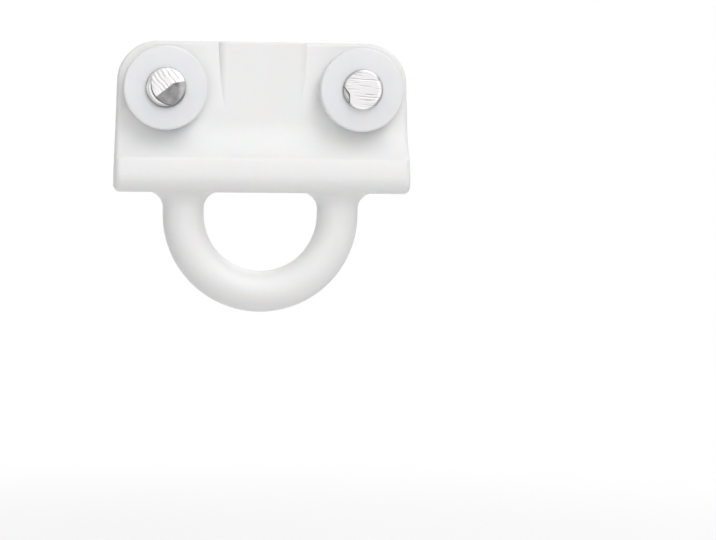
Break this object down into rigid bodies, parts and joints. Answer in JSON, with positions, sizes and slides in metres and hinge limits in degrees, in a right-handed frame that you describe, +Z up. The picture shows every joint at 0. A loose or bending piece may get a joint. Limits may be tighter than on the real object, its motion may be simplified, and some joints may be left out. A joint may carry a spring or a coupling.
{
  "type": "curtain glider",
  "caption": "Moulded plastic curtain track glider with small wheels on metal pins and a round eye below for a curtain hook.",
  "frame": {"origin": "midway between the two axles, on the plane that the wheel treads run on", "axes": "+X along the track, +Y across the track, +Z up, with the hook eye hanging below"},
  "size_m": [0.0294, 0.0107, 0.0269],
  "materials": {
    "white_moulding": "satin moulded",
    "wheel_plastic": "satin moulded",
    "pin_metal": "cut and filed ends"
  },
  "bodies": {
    "carrier": {"carrier_body": "white_moulding", "left_axle": "pin_metal", "right_axle": "pin_metal"},
    "front_left_wheel": {"front_left_wheel": "wheel_plastic"},
    "rear_left_wheel": {"rear_left_wheel": "wheel_plastic"},
    "front_right_wheel": {"front_right_wheel": "wheel_plastic"},
    "rear_right_wheel": {"rear_right_wheel": "wheel_plastic"}
  },
  "joints": [
    {"name": "front_left_wheel_spin", "type": "hinge", "parent": "carrier", "child": "front_left_wheel", "pos_m": [-0.0097, -0.00355, 0.00415], "axis": [0, 1, 0], "continuous": true},
    {"name": "rear_left_wheel_spin", "type": "hinge", "parent": "carrier", "child": "rear_left_wheel", "pos_m": [-0.0097, 0.00355, 0.00415], "axis": [0, 1, 0], "continuous": true},
    {"name": "front_right_wheel_spin", "type": "hinge", "parent": "carrier", "child": "front_right_wheel", "pos_m": [0.0097, -0.00355, 0.00415], "axis": [0, 1, 0], "continuous": true},
    {"name": "rear_right_wheel_spin", "type": "hinge", "parent": "carrier", "child": "rear_right_wheel", "pos_m": [0.0097, 0.00355, 0.00415], "axis": [0, 1, 0], "continuous": true}
  ]
}
